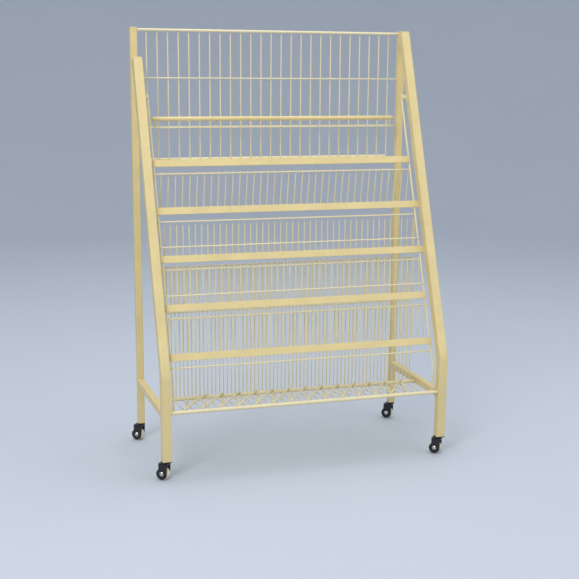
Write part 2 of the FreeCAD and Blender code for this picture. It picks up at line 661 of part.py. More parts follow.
def ledge_stays():
    """End wires that hold a ledge whose backrest stands clear of the tie rod above."""
    pieces = []
    for tier, standoff in BACKREST_STANDOFF.items():
        if standoff == 0:
            continue
        heights = (ledge_height(tier), tie_height(tier - 1))
        rods = (ledge_back(tier), tie_y(tier - 1))
        run = rods[1] - rods[0]
        rise = heights[1] - heights[0]
        line = (rods[0] + touching(LEDGE_ROD_DIAMETER, STAY_DIAMETER, run, rise),
                rods[1] + touching(TIE_ROD_DIAMETER, STAY_DIAMETER, run, rise))
        ends = (heights[0] - LEDGE_ROD_DIAMETER / 2, heights[1] + TIE_ROD_DIAMETER / 2)
        x = ROD_HALF - STAY_DIAMETER / 2
        pieces += [leaning_wire(side * x, line, heights, ends, STAY_DIAMETER) for side in (-1, 1)]
    return pieces


# ---------------------------------------------------------------------------
# Back panels
# ---------------------------------------------------------------------------


def panel_positions():
    """X of each upright wire of the top back panel."""
    half = HALF_SPREAD - PANEL_EDGE_INSET
    return [-half + 2 * half * index / (PANEL_WIRE_COUNT - 1) for index in range(PANEL_WIRE_COUNT)]


def top_back_panel():
    """Upright wires behind the top rail, with a tie wire ahead and a rod behind their feet."""
    top = TUBE_TOP - TOP_RAIL_DROP + TOP_RAIL_DIAMETER / 2
    foot = ledge_height(2) - LEDGE_ROD_DIAMETER / 2
    pieces = [rod((x, PANEL_Y, foot), (x, PANEL_Y, top), PANEL_WIRE_DIAMETER)
              for x in panel_positions()]
    tie_wire_y = PANEL_FRONT - PANEL_WIRE_DIAMETER / 2
    foot_rod_y = PANEL_Y + (PANEL_WIRE_DIAMETER + PANEL_FOOT_DIAMETER) / 2 + WELD_GAP
    pieces.append(cross_rod(HALF_SPREAD - REAR_TUBE / 2, tie_wire_y, TUBE_TOP - PANEL_TIE_DROP,
                            PANEL_WIRE_DIAMETER))
    pieces.append(cross_rod(HALF_SPREAD - PANEL_EDGE_INSET + PANEL_WIRE_DIAMETER / 2, foot_rod_y,
                            ledge_height(2) + PANEL_FOOT_RISE, PANEL_FOOT_DIAMETER))
    return pieces


def lower_back_panel():
    """Close upright wires from the base rear rail up, with cross wires behind them."""
    foot = BASE_REAR_HEIGHT - BASE_RAIL_DIAMETER / 2
    long_top = ledge_height(BACK_TIER_COUNT) - LEDGE_ROD_DIAMETER / 2 - WELD_GAP
    short_top = ledge_height(BACK_TIER_COUNT) - BACK_TOP_DROP
    half = ROD_HALF - BACK_WIRE_DIAMETER
    pieces = []
    for index, x in enumerate(spread_evenly(half, BACK_WIRE_PITCH)):
        is_long = index % 2 == 0 and (x > BACK_LONG_FROM or index == 0)
        top = long_top if is_long else short_top
        pieces.append(rod((x, BACK_WIRE_Y, foot), (x, BACK_WIRE_Y, top), BACK_WIRE_DIAMETER))
    cross_y = BACK_WIRE_Y + (BACK_WIRE_DIAMETER + BACK_TIE_DIAMETER) / 2 + WELD_GAP
    for step in range(1, BACK_TIE_COUNT + 1):
        height = foot + (short_top - foot) * step / BACK_TIE_COUNT - BACK_TIE_DIAMETER
        pieces.append(cross_rod(half, cross_y, height, BACK_TIE_DIAMETER))
    return pieces


# ---------------------------------------------------------------------------
# Castors, modelled with the stem on the Z axis and the trail along +X,
# then turned to their heading and moved under a tube
# ---------------------------------------------------------------------------

WHEEL_RADIUS = WHEEL_DIAMETER / 2
LEG_INNER = WHEEL_WIDTH / 2 + FORK_SIDE_GAP
LEG_OUTER = LEG_INNER + FORK_SHEET
CROWN_BOTTOM = WHEEL_DIAMETER + FORK_TOP_GAP
CROWN_TOP = CROWN_BOTTOM + FORK_SHEET
FLANGE_BOTTOM = CASTOR_HEIGHT - SOCKET_FLANGE
STEM_BORE = STEM_DIAMETER + 2 * FIT_CLEARANCE
AXLE_BORE = AXLE_DIAMETER + 2 * FIT_CLEARANCE


def castor_wheel():
    """Wheel with rounded edges and a hub that stands out to the fork legs."""
    centre = Vector(CASTOR_TRAIL, 0, WHEEL_RADIUS)
    half = WHEEL_WIDTH / 2
    across = Vector(0, 1, 0)
    disc = Part.makeCylinder(WHEEL_RADIUS, WHEEL_WIDTH, centre - across * half, across)
    rims = [edge for edge in disc.Edges if edge.Length > 3 * WHEEL_DIAMETER]
    disc = disc.makeFillet(WHEEL_EDGE_RADIUS, rims)
    hub_half = half + HUB_STANDOUT
    hub = Part.makeCylinder(HUB_DIAMETER / 2, 2 * hub_half, centre - across * hub_half, across)
    bore = Part.makeCylinder(AXLE_BORE / 2, 4 * half, centre - across * 2 * half, across)
    return disc.fuse(hub).cut(bore).removeSplitter()


def fork_leg(inner_y):
    """Straight leg that ends in a wider round eye about the axle."""
    outline = [Vector(-FORK_NOSE, inner_y, CROWN_TOP),
               Vector(FORK_TAIL, inner_y, CROWN_TOP),
               Vector(FORK_TAIL, inner_y, WHEEL_RADIUS),
               Vector(CASTOR_TRAIL - FORK_EYE_RADIUS, inner_y, WHEEL_RADIUS)]
    plate = Part.Face(Part.makePolygon(outline + outline[:1])).extrude(Vector(0, FORK_SHEET, 0))
    eye = Part.makeCylinder(FORK_EYE_RADIUS, FORK_SHEET,
                            Vector(CASTOR_TRAIL, inner_y, WHEEL_RADIUS), Vector(0, 1, 0))
    return plate.fuse(eye)


def castor_fork():
    """Pressed fork: two legs, a crown and the swivel boss."""
    crown = block((-FORK_NOSE, FORK_TAIL), (-LEG_OUTER, LEG_OUTER), (CROWN_BOTTOM, CROWN_TOP))
    boss_height = FLANGE_BOTTOM - SWIVEL_GAP - CROWN_BOTTOM
    boss = Part.makeCylinder(BOSS_DIAMETER / 2, boss_height, Vector(0, 0, CROWN_BOTTOM))
    body = fork_leg(LEG_INNER).fuse([fork_leg(-LEG_OUTER), crown, boss])
    stem_hole = Part.makeCylinder(STEM_BORE / 2, CASTOR_HEIGHT, Vector(0, 0, WHEEL_RADIUS))
    axle_hole = Part.makeCylinder(AXLE_BORE / 2, 4 * LEG_OUTER,
                                  Vector(CASTOR_TRAIL, -2 * LEG_OUTER, WHEEL_RADIUS), Vector(0, 1, 0))
    return body.cut(stem_hole).cut(axle_hole).removeSplitter()


def castor_stem():
    """Swivel stem with its head under the fork crown."""
    head = Part.makeCylinder(STEM_HEAD_DIAMETER / 2, STEM_HEAD_HEIGHT,
                             Vector(0, 0, CROWN_BOTTOM - STEM_HEAD_HEIGHT))
    shank = Part.makeCylinder(STEM_DIAMETER / 2, CASTOR_HEIGHT + STEM_REACH - CROWN_BOTTOM,
                              Vector(0, 0, CROWN_BOTTOM))
    return head.fuse(shank).removeSplitter()


def castor_axle():
    """Axle pin with a domed head on each side of the fork."""
    centre = Vector(CASTOR_TRAIL, 0, WHEEL_RADIUS)
    across = Vector(0, 1, 0)
    pin = Part.makeCylinder(AXLE_DIAMETER / 2, 2 * LEG_OUTER, centre - across * LEG_OUTER, across)
    head_radius = AXLE_HEAD_DIAMETER / 2
    dome_radius = (head_radius ** 2 + AXLE_HEAD_HEIGHT ** 2) / (2 * AXLE_HEAD_HEIGHT)
    for side in (-1, 1):
        face = centre + across * side * LEG_OUTER
        ball_centre = face + across * side * (AXLE_HEAD_HEIGHT - dome_radius)
        ball = Part.makeSphere(dome_radius, ball_centre)
        slab = Part.makeCylinder(head_radius, AXLE_HEAD_HEIGHT, face, across * side)
        pin = pin.fuse(slab.common(ball))
    return pin.removeSplitter()


def castor_socket(tube_size):
    """Plastic plug with a flange under the tube foot and a bore for the stem."""
    plug_width = tube_size - 2 * TUBE_WALL - 2 * SOCKET_CLEARANCE
    flange = centred_block(0, 0, tube_size, (FLANGE_BOTTOM, CASTOR_HEIGHT))
    flange = round_edges_along(flange, Vector(0, 0, 1), CORNER_RADIUS)
    plug = centred_block(0, 0, plug_width, (CASTOR_HEIGHT, CASTOR_HEIGHT + SOCKET_PLUG))
    bore = Part.makeCylinder(STEM_BORE / 2, CASTOR_HEIGHT + SOCKET_PLUG, Vector(0, 0, WHEEL_RADIUS))
    return flange.fuse(plug).cut(bore).removeSplitter()


def place_castor(shape, x, y):
    """Turn a castor piece to its heading and move it under its tube."""
    shape.rotate(Vector(0, 0, 0), Vector(0, 0, 1), 180 - CASTOR_HEADING)
    shape.translate(Vector(x, y, 0))
    return shape


# ---------------------------------------------------------------------------
# Assembly
# ---------------------------------------------------------------------------


def build_nodes():
    """Every node's solids, by node name."""
    nodes = {}
    for name, side in (("left", -1), ("right", 1)):
        nodes[name + "_rear_upright"] = [rear_upright(side)]
        nodes[name + "_front_tube"] = [front_tube(side)]
        nodes[name + "_side_rail"] = [side_rail(side)]
        nodes[name + "_side_rod"] = [side_rod(side), side_rod_tab(side)]
    nodes["left_tube_spacer"] = [tube_spacer()]
    nodes["tube_end_caps"] = [upright_cap(-1), upright_cap(1), square_cut_cap(), slope_cap()]
    nodes["top_rail"] = [top_rail()]
    nodes["top_back_panel"] = top_back_panel()
    nodes["lower_back_panel"] = lower_back_panel()
    nodes["base_front_rail"] = [base_front_rail()]
    nodes["base_rear_rail"] = [base_rear_rail()]
    nodes["base_shelf_struts"] = shelf_struts()
    nodes["base_shelf_diagonals"] = shelf_diagonals()
    nodes["base_shelf_wires"] = shelf_wires()
    nodes["tier_1_bar"] = [top_bar()] + top_bar_posts()
    nodes["tier_1_ledge"] = ledge(1)
    for tier in range(2, LAST_TIER + 1):
        nodes["tier_%d_bar" % tier] = [flat_bar(tier)]
        nodes["tier_%d_ledge" % tier] = ledge(tier)
    for tier in BACKREST_PITCH:
        nodes["tier_%d_backrest" % tier] = backrest(tier)
    nodes["tie_rods"] = [tie_rod(tier) for tier in range(2, LAST_TIER + 1)]
    nodes["guard_wires"] = [guard_wire(tier) for tier in GUARD_TIERS]
    nodes["ledge_stays"] = ledge_stays()
    nodes["bar_fixing_screws"] = at_long_bar_ends(fixing_screw)
    nodes["bar_rivet_nuts"] = at_long_bar_ends(rivet_nut)
    for end, y, tube_size in (("front", -FRAME_DEPTH, FRONT_TUBE), ("rear", 0.0, REAR_TUBE)):
        for name, side in (("left", -1), ("right", 1)):
            x = side * HALF_SPREAD
            prefix = "%s_%s_castor_" % (end, name)
            socket = castor_socket(tube_size)
            socket.translate(Vector(x, y, 0))
            nodes[prefix + "socket"] = [socket]
            nodes[prefix + "fork"] = [place_castor(castor_fork(), x, y)]
            nodes[prefix + "stem"] = [place_castor(castor_stem(), x, y)]
            nodes[prefix + "axle"] = [place_castor(castor_axle(), x, y)]
            nodes[prefix + "wheel"] = [place_castor(castor_wheel(), x, y)]
    return nodes


def export_nodes(nodes):
    """Write each node, with the origin at the middle of the rack's footprint box."""
    everything = Part.makeCompound([solid for solids in nodes.values() for solid in solids])
    box = everything.optimalBoundingBox(False)
    to_origin = Vector(-box.Center.x, -box.Center.y, -box.ZMin)
    os.makedirs("parts", exist_ok=True)
    for name, solids in nodes.items():
        shape = solids[0] if len(solids) == 1 else Part.makeCompound(solids)
        shape.translate(to_origin)
        shape.exportStep("parts/%s.step" % name)
    print("nodes", len(nodes), "solids", sum(len(solids) for solids in nodes.values()))
    print("size %.1f x %.1f x %.1f mm" % (box.XLength, box.YLength, box.ZLength))
    print("moved by %.3f, %.3f, %.3f mm" % (to_origin.x, to_origin.y, to_origin.z))


export_nodes(build_nodes())
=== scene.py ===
"""Finish for a wheeled periodical display rack: powder coated tubes, welded wire tiers, castors.

Laid out as an add-on and run as a script. Every length is in metres, in the frame of the packed
rack: X to the rack's right, the front at -Y, the floor at Z = 0.
"""

import math

import bmesh
import bpy
import numpy as np
from mathutils import Matrix, Vector


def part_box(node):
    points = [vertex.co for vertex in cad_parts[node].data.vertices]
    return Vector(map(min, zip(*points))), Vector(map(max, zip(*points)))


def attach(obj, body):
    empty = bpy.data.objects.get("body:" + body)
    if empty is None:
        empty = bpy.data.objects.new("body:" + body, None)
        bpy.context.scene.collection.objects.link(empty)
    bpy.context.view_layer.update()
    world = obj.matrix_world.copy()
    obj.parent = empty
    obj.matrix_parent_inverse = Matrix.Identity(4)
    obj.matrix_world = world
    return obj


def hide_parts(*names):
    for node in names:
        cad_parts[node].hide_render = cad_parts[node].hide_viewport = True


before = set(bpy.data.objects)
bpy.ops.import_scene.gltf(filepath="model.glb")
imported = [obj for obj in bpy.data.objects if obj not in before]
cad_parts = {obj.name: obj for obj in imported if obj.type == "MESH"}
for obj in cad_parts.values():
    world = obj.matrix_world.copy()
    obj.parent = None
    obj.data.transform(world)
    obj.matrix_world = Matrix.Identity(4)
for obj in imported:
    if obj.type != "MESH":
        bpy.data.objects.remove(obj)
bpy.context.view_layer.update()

bl_info = {
    "name": "Periodical display rack",
    "version": (1, 0, 0),
    "blender": (4, 5, 0),
    "location": "3D View > Sidebar > Rack",
    "description": "Paint, welds, castor detail and a plain studio for a welded wire display rack",
    "category": "Object",
}

MM = 0.001
CORNERS = ("front_left", "front_right", "rear_left", "rear_right")
TUBES = ("left_rear_upright", "right_rear_upright", "left_front_tube", "right_front_tube",
         "left_side_rail", "right_side_rail", "left_tube_spacer")
FLAT_BARS = tuple("tier_%d_bar" % tier for tier in range(2, 7))
LEDGES = tuple("tier_%d_ledge" % tier for tier in range(1, 7))
BACKRESTS = tuple("tier_%d_backrest" % tier for tier in range(3, 7))
SHELF = ("base_front_rail", "base_rear_rail", "base_shelf_struts", "base_shelf_diagonals",
         "base_shelf_wires")
STRAIGHT_RODS = SHELF + LEDGES + BACKRESTS + (
    "top_rail", "top_back_panel", "lower_back_panel", "tier_1_bar", "tie_rods", "guard_wires",
    "ledge_stays")
SIDE_RODS = ("left_side_rod", "right_side_rod")
WHEEL_AXIS = Vector((-0.642788, -0.766044, 0.0))    # at rest the castors are turned by 40 degrees
BAR_THICKNESS = 3.0 * MM
TUBE_CORNER = 2.0 * MM
TOUCH = 0.3 * MM    # a rod that ends this near to a tube is welded to it
ZINC_COLOUR = "#B4B4B2"
NICKEL_COLOUR = "#D2CFC8"


# Colours and materials

def linear(hex_colour):
    """Linear red, green and blue of an sRGB hex colour."""
    channels = [int(hex_colour[i:i + 2], 16) / 255 for i in (1, 3, 5)]
    return tuple(c / 12.92 if c <= 0.04045 else ((c + 0.055) / 1.055) ** 2.4 for c in channels)


def shade(colour, factor):
    """The colour made lighter or darker, with alpha for a node socket."""
    return tuple(min(1.0, c * factor) for c in colour[:3]) + (1.0,)


def add_node(tree, kind, inputs=None, **settings):
    """Add a node with its settings; each input is a value or the socket that feeds it."""
    made = tree.nodes.new(kind)
    for name, value in settings.items():
        setattr(made, name, value)
    for name, value in (inputs or {}).items():
        if isinstance(value, bpy.types.NodeSocket):
            tree.links.new(value, made.inputs[name])
        else:
            made.inputs[name].default_value = value
    return made


def start_material(name):
    """A new material with a principled shader on its output, and its object coordinates."""
    material = bpy.data.materials.new(name)
    material.use_nodes = True
    tree = material.node_tree
    tree.nodes.clear()
    shader = add_node(tree, "ShaderNodeBsdfPrincipled")
    add_node(tree, "ShaderNodeOutputMaterial", {"Surface": shader.outputs["BSDF"]})
    place = add_node(tree, "ShaderNodeTexCoord").outputs["Object"]
    return material, tree, shader, place


def noise(tree, place, size_mm, detail=2.0, roughness=0.5):
    """Noise whose lumps are about `size_mm` across."""
    made = add_node(tree, "ShaderNodeTexNoise", {"Vector": place, "Scale": 1000.0 / size_mm,
                                                 "Detail": detail, "Roughness": roughness})
    return made.outputs["Fac"]


def remap(tree, value, low, high, to_low=0.0, to_high=1.0):
    """Stretch a value from one range to another and clamp it."""
    made = add_node(tree, "ShaderNodeMapRange", {"Value": value, "From Min": low, "From Max": high,
                                                 "To Min": to_low, "To Max": to_high})
    return made.outputs["Result"]


def mix(tree, amount, first, second):
    """Blend two colours."""
    made = add_node(tree, "ShaderNodeMix", {0: amount, 6: first, 7: second}, data_type="RGBA")
    return made.outputs[2]


def multiply(tree, first, second):
    """Product of two values."""
    return add_node(tree, "ShaderNodeMath", {0: first, 1: second}, operation="MULTIPLY").outputs[0]


def bump(tree, height, depth_mm):
    """Normal of a surface whose relief is `depth_mm` deep."""
    made = add_node(tree, "ShaderNodeBump", {"Height": height, "Distance": depth_mm * MM,
                                             "Strength": 1.0})
    return made.outputs["Normal"]


def edge_mask(tree, radius_mm):
    """1 along sharp edges and 0 on flat faces."""
    rounded = add_node(tree, "ShaderNodeBevel", {"Radius": radius_mm * MM}, samples=6)
    flat = add_node(tree, "ShaderNodeNewGeometry")
    normals = {0: rounded.outputs["Normal"], 1: flat.outputs["Normal"]}
    alike = add_node(tree, "ShaderNodeVectorMath", normals, operation="DOT_PRODUCT")
    return remap(tree, alike.outputs["Value"], 0.995, 0.88)


def powder_coat_on_tube(colour, peel_mm, wear):
    """Cream polyester powder coat on steel tube and strip.

    It looks even and softly glossy, with an orange peel drawn coarse enough to show, and it thins
    and dulls along the edges.
    """
    material, tree, shader, place = start_material("powder_coat_on_tube")
    cloud = noise(tree, place, 90.0, 3.0)
    smudge = noise(tree, place, 22.0, 4.0, 0.6)
    chips = remap(tree, noise(tree, place, 5.0, 5.0, 0.65), 0.42, 0.66)
    worn = multiply(tree, multiply(tree, edge_mask(tree, 2.5), chips), wear)
    even = mix(tree, remap(tree, cloud, 0.3, 0.7), shade(colour, 0.94), shade(colour, 1.04))
    handled = mix(tree, remap(tree, smudge, 0.54, 0.76, 0.0, 0.45), even, shade(colour, 0.86))
    thin = tuple(c * s for c, s in zip(colour[:3], (0.74, 0.72, 0.72))) + (1.0,)
    tree.links.new(mix(tree, worn, handled, thin), shader.inputs["Base Color"])
    tree.links.new(remap(tree, smudge, 0.3, 0.75, 0.33, 0.47), shader.inputs["Roughness"])
    tree.links.new(bump(tree, noise(tree, place, peel_mm, 1.5), 0.06), shader.inputs["Normal"])
    return material


def powder_coat_on_wire(colour, peel_mm):
    """The same powder coat on drawn wire.

    It builds thicker on the round wire, so it is a little paler and glossier, with slow waves
    along it.
    """
    material, tree, shader, place = start_material("powder_coat_on_wire")
    cloud = noise(tree, place, 60.0, 3.0)
    fine = noise(tree, place, peel_mm, 2.0)
    build = noise(tree, place, 9.0, 2.0)
    tint = mix(tree, remap(tree, cloud, 0.3, 0.7), shade(colour, 0.95), shade(colour, 1.03))
    dust = remap(tree, build, 0.55, 0.8, 0.0, 0.3)
    tree.links.new(mix(tree, dust, tint, shade(colour, 0.9)), shader.inputs["Base Color"])
    tree.links.new(remap(tree, build, 0.3, 0.7, 0.28, 0.42), shader.inputs["Roughness"])
    tree.links.new(bump(tree, fine, 0.05), shader.inputs["Normal"])
    return material


def moulded_polyethylene(colour):
    """Moulded polyethylene caps: waxy, matt, a shade duller than the paint, with a mould grain."""
    material, tree, shader, place = start_material("moulded_polyethylene")
    cloud = noise(tree, place, 12.0, 3.0)
    tint = remap(tree, cloud, 0.3, 0.7)
    tree.links.new(mix(tree, tint, shade(colour, 0.93), shade(colour, 1.02)),
                   shader.inputs["Base Color"])
    tree.links.new(remap(tree, cloud, 0.3, 0.7, 0.48, 0.6), shader.inputs["Roughness"])
    tree.links.new(bump(tree, noise(tree, place, 0.7, 2.0), 0.03), shader.inputs["Normal"])
    shader.inputs["Subsurface Weight"].default_value = 0.04
    shader.inputs["Subsurface Scale"].default_value = 0.002
    return material


def moulded_polypropylene(colour):
    """Polypropylene sockets: satin black, greyer where handled, with a spark eroded grain."""
    material, tree, shader, place = start_material("moulded_polypropylene")
    haze = noise(tree, place, 8.0, 4.0, 0.6)
    tree.links.new(mix(tree, remap(tree, haze, 0.45, 0.75), shade(colour, 1.0), shade(colour, 1.9)),
                   shader.inputs["Base Color"])
    tree.links.new(remap(tree, haze, 0.3, 0.7, 0.42, 0.58), shader.inputs["Roughness"])
    tree.links.new(bump(tree, noise(tree, place, 0.6, 2.0), 0.04), shader.inputs["Normal"])
    return material


def black_lacquer_on_steel(colour):
    """Stoved lacquer on pressed steel forks: glossy black, rubbed to grey steel along the edges."""
    material, tree, shader, place = start_material("black_lacquer_on_steel")
    chips = remap(tree, noise(tree, place, 1.6, 5.0, 0.7), 0.5, 0.62)
    worn = multiply(tree, multiply(tree, edge_mask(tree, 0.5), chips), 0.7)
    dust = noise(tree, place, 6.0, 4.0)
    dusty = mix(tree, remap(tree, dust, 0.5, 0.8, 0.0, 0.4), shade(colour, 1.0), shade(colour, 3.0))
    tree.links.new(mix(tree, worn, dusty, linear("#7C7A76") + (1.0,)), shader.inputs["Base Color"])
    tree.links.new(remap(tree, dust, 0.3, 0.75, 0.26, 0.5), shader.inputs["Roughness"])
    tree.links.new(bump(tree, noise(tree, place, 1.1, 1.5), 0.03), shader.inputs["Normal"])
    return material


def cast_nylon(colour):
    """Ivory nylon wheels: dense, slightly translucent, with grey scuffs from the floor."""
    material, tree, shader, place = start_material("cast_nylon")
    scuff = noise(tree, place, 3.0, 5.0, 0.65)
    tree.links.new(mix(tree, remap(tree, scuff, 0.5, 0.78, 0.0, 0.45), shade(colour, 1.0),
                       linear("#8F8876") + (1.0,)), shader.inputs["Base Color"])
    tree.links.new(remap(tree, scuff, 0.35, 0.7, 0.36, 0.62), shader.inputs["Roughness"])
    tree.links.new(bump(tree, scuff, 0.05), shader.inputs["Normal"])
    shader.inputs["Subsurface Weight"].default_value = 0.06
    shader.inputs["Subsurface Scale"].default_value = 0.002
    return material


def nickel_plate(colour):
    """Bright nickel plate on the axle rivets: a clear mirror with a soft spun haze."""
    material, tree, shader, place = start_material("nickel_plate")
    haze = noise(tree, place, 2.0, 4.0)
    shader.inputs["Metallic"].default_value = 1.0
    tree.links.new(mix(tree, remap(tree, haze, 0.3, 0.7), shade(colour, 0.9), shade(colour, 1.04)),
                   shader.inputs["Base Color"])
    tree.links.new(remap(tree, haze, 0.3, 0.7, 0.16, 0.3), shader.inputs["Roughness"])
    tree.links.new(bump(tree, noise(tree, place, 0.5, 3.0), 0.01), shader.inputs["Normal"])
    return material


def zinc_plate(colour):
    """Barrel zinc plate on screws and stems: grey and satin, with a faint blue and straw mottle."""
    material, tree, shader, place = start_material("zinc_plate")
    mottle = noise(tree, place, 3.5, 4.0, 0.6)
    tints = mix(tree, remap(tree, mottle, 0.35, 0.65), linear("#A9ADB0") + (1.0,),
                linear("#B9B3A0") + (1.0,))
    shader.inputs["Metallic"].default_value = 1.0
    tree.links.new(mix(tree, 0.5, shade(colour, 1.0), tints), shader.inputs["Base Color"])
    tree.links.new(remap(tree, mottle, 0.3, 0.7, 0.3, 0.48), shader.inputs["Roughness"])
    tree.links.new(bump(tree, noise(tree, place, 0.8, 2.0), 0.015), shader.inputs["Normal"])
    return material


def matt_vinyl_floor(colour):
    """Pale matt studio floor, almost even, with a very slow drift of tone."""
    material, tree, shader, place = start_material("matt_vinyl_floor")
    drift = remap(tree, noise(tree, place, 900.0, 2.0), 0.3, 0.7)
    tree.links.new(mix(tree, drift, shade(colour, 0.99), shade(colour, 1.01)),
                   shader.inputs["Base Color"])
    shader.inputs["Roughness"].default_value = 0.85
    shader.inputs["Specular IOR Level"].default_value = 0.2
    return material


def material_once(make, *values):
    """The material that `make` gives, made only the first time."""
    found = bpy.data.materials.get(make.__name__)
    return found or make(*values)


def tube_paint():
    """The powder coat of the tubes and bars, as set in the panel."""
    finish = bpy.context.scene.display_rack.finish
    return material_once(powder_coat_on_tube, tuple(finish.tube_colour), finish.orange_peel,
                         finish.edge_wear)


def wire_paint():
    """The powder coat of the rods and wires, as set in the panel."""
    finish = bpy.context.scene.display_rack.finish
    return material_once(powder_coat_on_wire, tuple(finish.wire_colour), finish.orange_peel)


def paint_nodes(names, material):
    """Give carried-over nodes their finish through their own material slots."""
    for name in names:
        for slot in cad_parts[name].material_slots:
            slot.material = material


# Meshes

def finish_piece(bm, name, material, body, smooth_angle):
    """Turn a bmesh into a piece that rides on a body, smooth up to an angle in degrees."""
    mesh = bpy.data.meshes.new(name)
    bm.to_mesh(mesh)
    bm.free()
    for face in mesh.polygons:
        face.use_smooth = True
    mesh.set_sharp_from_angle(angle=math.radians(smooth_angle))
    mesh.materials.append(material)
    piece = bpy.data.objects.new(name, mesh)
    bpy.context.scene.collection.objects.link(piece)
    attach(piece, body)
    return piece


def merged_copy(node):
    """A CAD node's mesh with its loose triangles joined up."""
    bm = bmesh.new()
    bm.from_mesh(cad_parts[node].data)
    bmesh.ops.remove_doubles(bm, verts=bm.verts, dist=2e-6)
    return bm


def edges_at(verts):
    """Every edge at these vertices, once and in a fixed order."""
    return list(dict.fromkeys(edge for vert in verts for edge in vert.link_edges))


def round_over(bm, edges, width):
    """Round edges over by two facets."""
    bmesh.ops.bevel(bm, geom=edges, offset=width, offset_type="OFFSET", segments=2, profile=0.5,
                    affect="EDGES", clamp_overlap=True, material=-1)


def softened_copy(node, width_mm):
    """A CAD node's shape with its sharp edges rounded over."""
    flat, sharp = math.radians(1.0), math.radians(30.0)
    bm = merged_copy(node)
    bmesh.ops.dissolve_limit(bm, angle_limit=flat, verts=bm.verts, edges=bm.edges)
    round_over(bm, [e for e in bm.edges if e.is_manifold and e.calc_face_angle() > sharp],
               width_mm * MM)
    return bm


def islands(bm):
    """Coordinates of each separate shell, in a fixed order."""
    seen = set()
    for start in bm.verts:
        if start in seen:
            continue
        seen.add(start)
        shell = [start]
        for vert in shell:      # the list grows as it is walked
            for link in vert.link_edges:
                other = link.other_vert(vert)
                if other not in seen:
                    seen.add(other)
                    shell.append(other)
        yield np.array([v.co for v in shell])


def rod_line(points):
    """Start, end and radius of the straight rod that these points lie on."""
    centre = points.mean(axis=0)
    axis = np.linalg.svd(points - centre, full_matrices=False)[2][0]
    along = (points - centre) @ axis
    away = np.linalg.norm(points - centre - np.outer(along, axis), axis=1).max()
    return centre + axis * along.min(), centre + axis * along.max(), away


def straight_rods(node):
    """Every straight rod of a node."""
    bm = merged_copy(node)
    found = [rod_line(points) for points in islands(bm)]
    bm.free()
    return found


def side_rod_lines(node):
    """The sloping run and the upright foot of a bent side rod.

    The points of its mesh lie on the slanted top end, on the level foot and round the bend.
    """
    top_slant, foot_height, bend_step = 2.2 * MM, 0.2 * MM, 1.0 * MM
    bm = merged_copy(node)
    points = max(islands(bm), key=len)
    bm.free()
    z = points[:, 2]
    low, high = z.min(), z.max()
    radius = (points[:, 0].max() - points[:, 0].min()) / 2
    top = points[z > high - top_slant].mean(axis=0)
    foot = points[z < low + foot_height].mean(axis=0)
    bend = points[(z < high - 2 * top_slant) & (z > low + 2 * foot_height)]
    bend_top = bend[bend[:, 2] > bend[:, 2].max() - bend_step].mean(axis=0)
    bend_foot = np.array([foot[0], foot[1], bend[:, 2].min()])
    return [(bend_top, top, radius), (foot, bend_foot, radius)]


def bar_line(node):
    """A flat bar as a thin rod along its middle."""
    low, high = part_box(node)
    middle = (low + high) / 2
    return (np.array([low.x, middle.y, middle.z]), np.array([high.x, middle.y, middle.z]),
            BAR_THICKNESS / 2)


def closest_points(rods):
    """For every pair of rods: indices, nearest points and how far along each rod these lie."""
    start = np.array([rod[0] for rod in rods])
    run = np.array([rod[1] - rod[0] for rod in rods])
    first, second = np.triu_indices(len(rods), 1)
    p, d, q, e = start[first], run[first], start[second], run[second]
    gap = p - q
    dd, ee, de = (d * d).sum(1), (e * e).sum(1), (d * e).sum(1)
    dg, eg = (d * gap).sum(1), (e * gap).sum(1)
    spread = dd * ee - de * de
    s = (de * eg - dg * ee) / np.maximum(spread, 1e-20)
    s = np.where(spread > 1e-9 * dd * ee, s, 0.5).clip(0, 1)
    t = ((de * s + eg) / ee).clip(0, 1)
    s = ((de * t - dg) / dd).clip(0, 1)
    return first, second, p + d * s[:, None], q + e * t[:, None], s, t


def oriented(centre, normal, along):
    """Matrix with Z on a normal and X near a direction."""
    z = Vector(normal).normalized()
    x = Vector(along) - z * z.dot(Vector(along))
    x = x.normalized() if x.length > 1e-6 else z.orthogonal().normalized()
    turn = Matrix((x, z.cross(x), z)).transposed().to_4x4()
    return Matrix.Translation(Vector(centre)) @ turn


def ball(around, rows):
    """The mesh of a ball of radius 1, to be copied many times."""
    bm = bmesh.new()
    bmesh.ops.create_uvsphere(bm, u_segments=around, v_segments=rows, radius=1.0)
    mesh = bpy.data.meshes.new("ball")
    bm.to_mesh(mesh)
    bm.free()
    return mesh


def add_copy(bm, mesh, place):
    """Add a copy of a small mesh at a place."""
    copy = mesh.copy()
    copy.transform(place)
    bm.from_mesh(copy)
    bpy.data.meshes.remove(copy)


def add_part(bm, part):
    """Add a finished small bmesh to a piece's."""
    bmesh.ops.remove_doubles(part, verts=part.verts, dist=1e-6)
    bmesh.ops.recalc_face_normals(part, faces=part.faces)
    mesh = bpy.data.meshes.new("part")
    part.to_mesh(mesh)
    part.free()
    bm.from_mesh(mesh)
    bpy.data.meshes.remove(mesh)


def ring(bm, centre, axis, radius, thickness, around=24):
    """A round bead about an axis."""
    part = bmesh.new()
    across = Vector(axis).orthogonal().normalized()
    place = oriented(Vector(centre) + across * radius, Vector(axis).cross(across), across)
    circle = bmesh.ops.create_circle(part, segments=8, radius=thickness, matrix=place)["verts"]
    bmesh.ops.spin(part, geom=circle + edges_at(circle), cent=centre, axis=axis, angle=math.tau,
                   steps=around, use_merge=True)
    add_part(bm, part)


